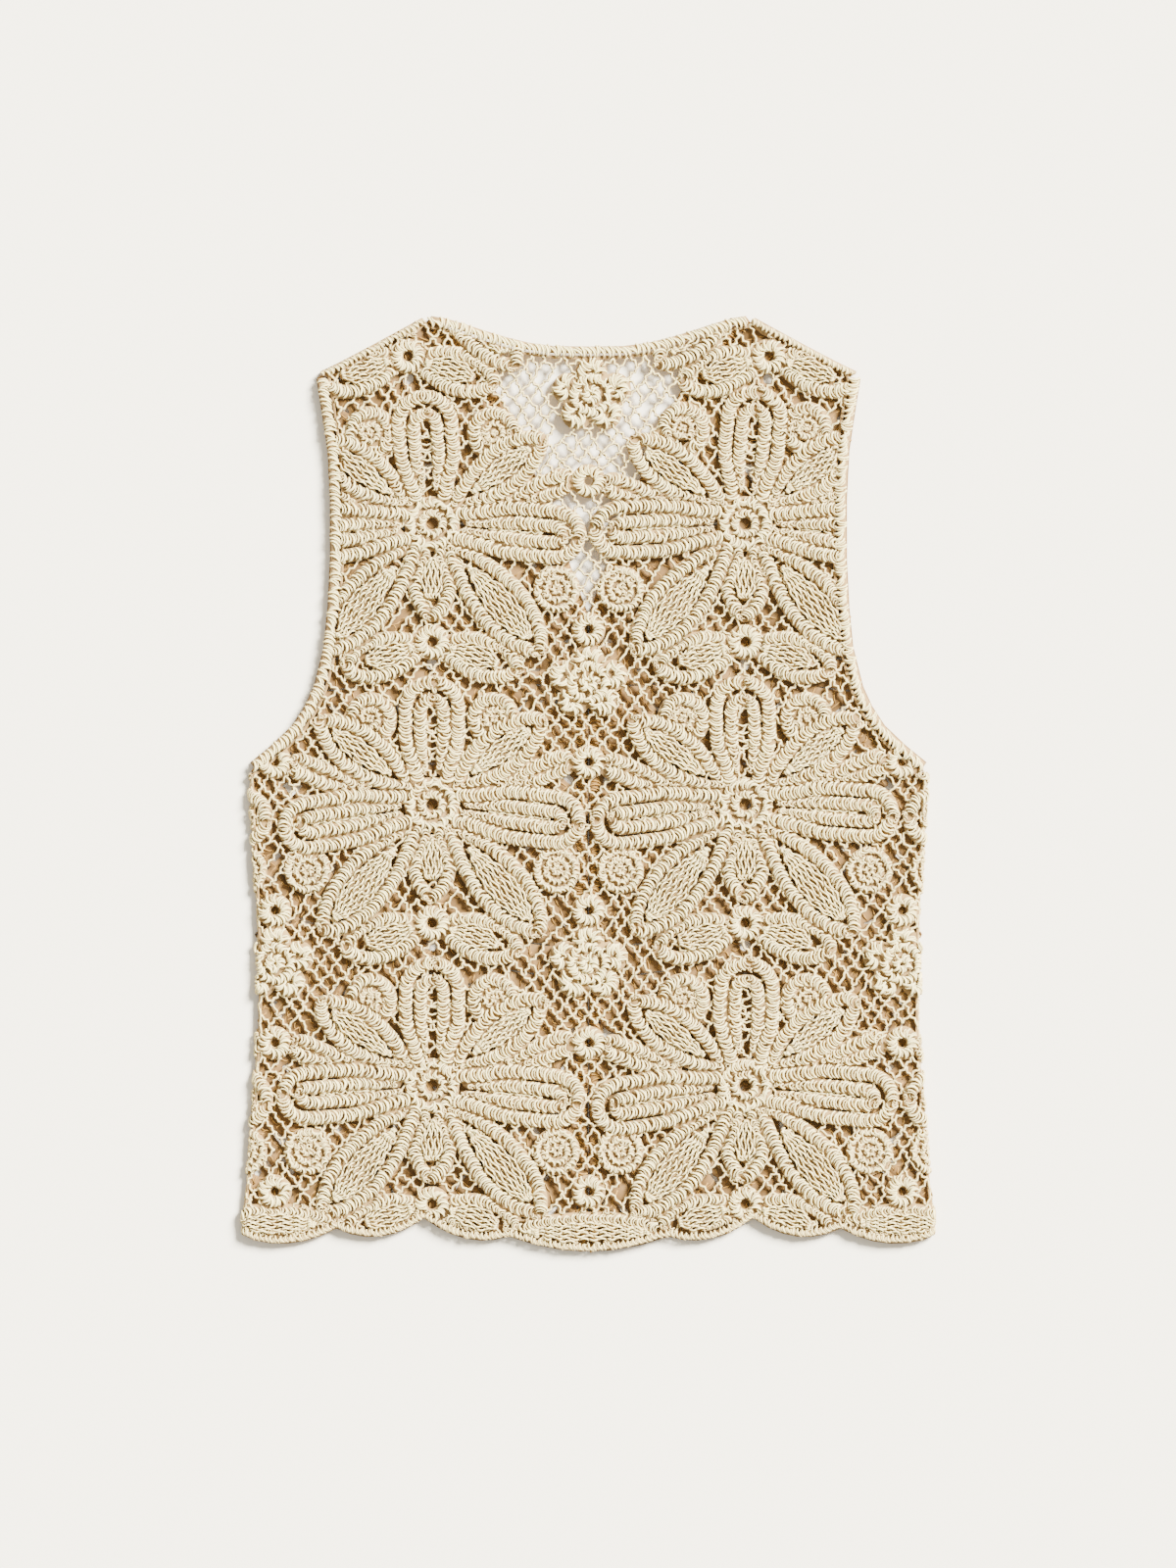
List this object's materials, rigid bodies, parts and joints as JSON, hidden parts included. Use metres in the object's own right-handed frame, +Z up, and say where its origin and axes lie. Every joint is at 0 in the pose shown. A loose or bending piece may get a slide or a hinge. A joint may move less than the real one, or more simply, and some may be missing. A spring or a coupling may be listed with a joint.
{
  "type": "crochet top",
  "caption": "Sleeveless hip-length crochet waistcoat top of joined flower lace motifs, laid flat face down, with scalloped hem and narrow edgings at neck, armholes and front.",
  "frame": {"origin": "middle of the garment's outline, on the surface that it lies on", "axes": "+Y from the hem to the neck, +Z up off the surface through the two fronts and then the back, +X to the right of the back as it is seen"},
  "size_m": [0.4508, 0.6026, 0.0107],
  "materials": {
    "back_yarn": "cream cotton yarn crocheted in raised strips, matt",
    "front_yarn": "the same yarn on the inner side of the fronts, seen tan in the shade of the back"
  },
  "bodies": {
    "root": {"back_panel": "back_yarn", "back_neck_edging": "back_yarn", "back_armhole_edging_left": "back_yarn", "back_armhole_edging_right": "back_yarn", "front_left_panel": "front_yarn", "front_right_panel": "front_yarn", "front_armhole_edging_left": "front_yarn", "front_armhole_edging_right": "front_yarn", "front_edge_band_left": "front_yarn", "front_edge_band_right": "front_yarn"}
  },
  "joints": []
}
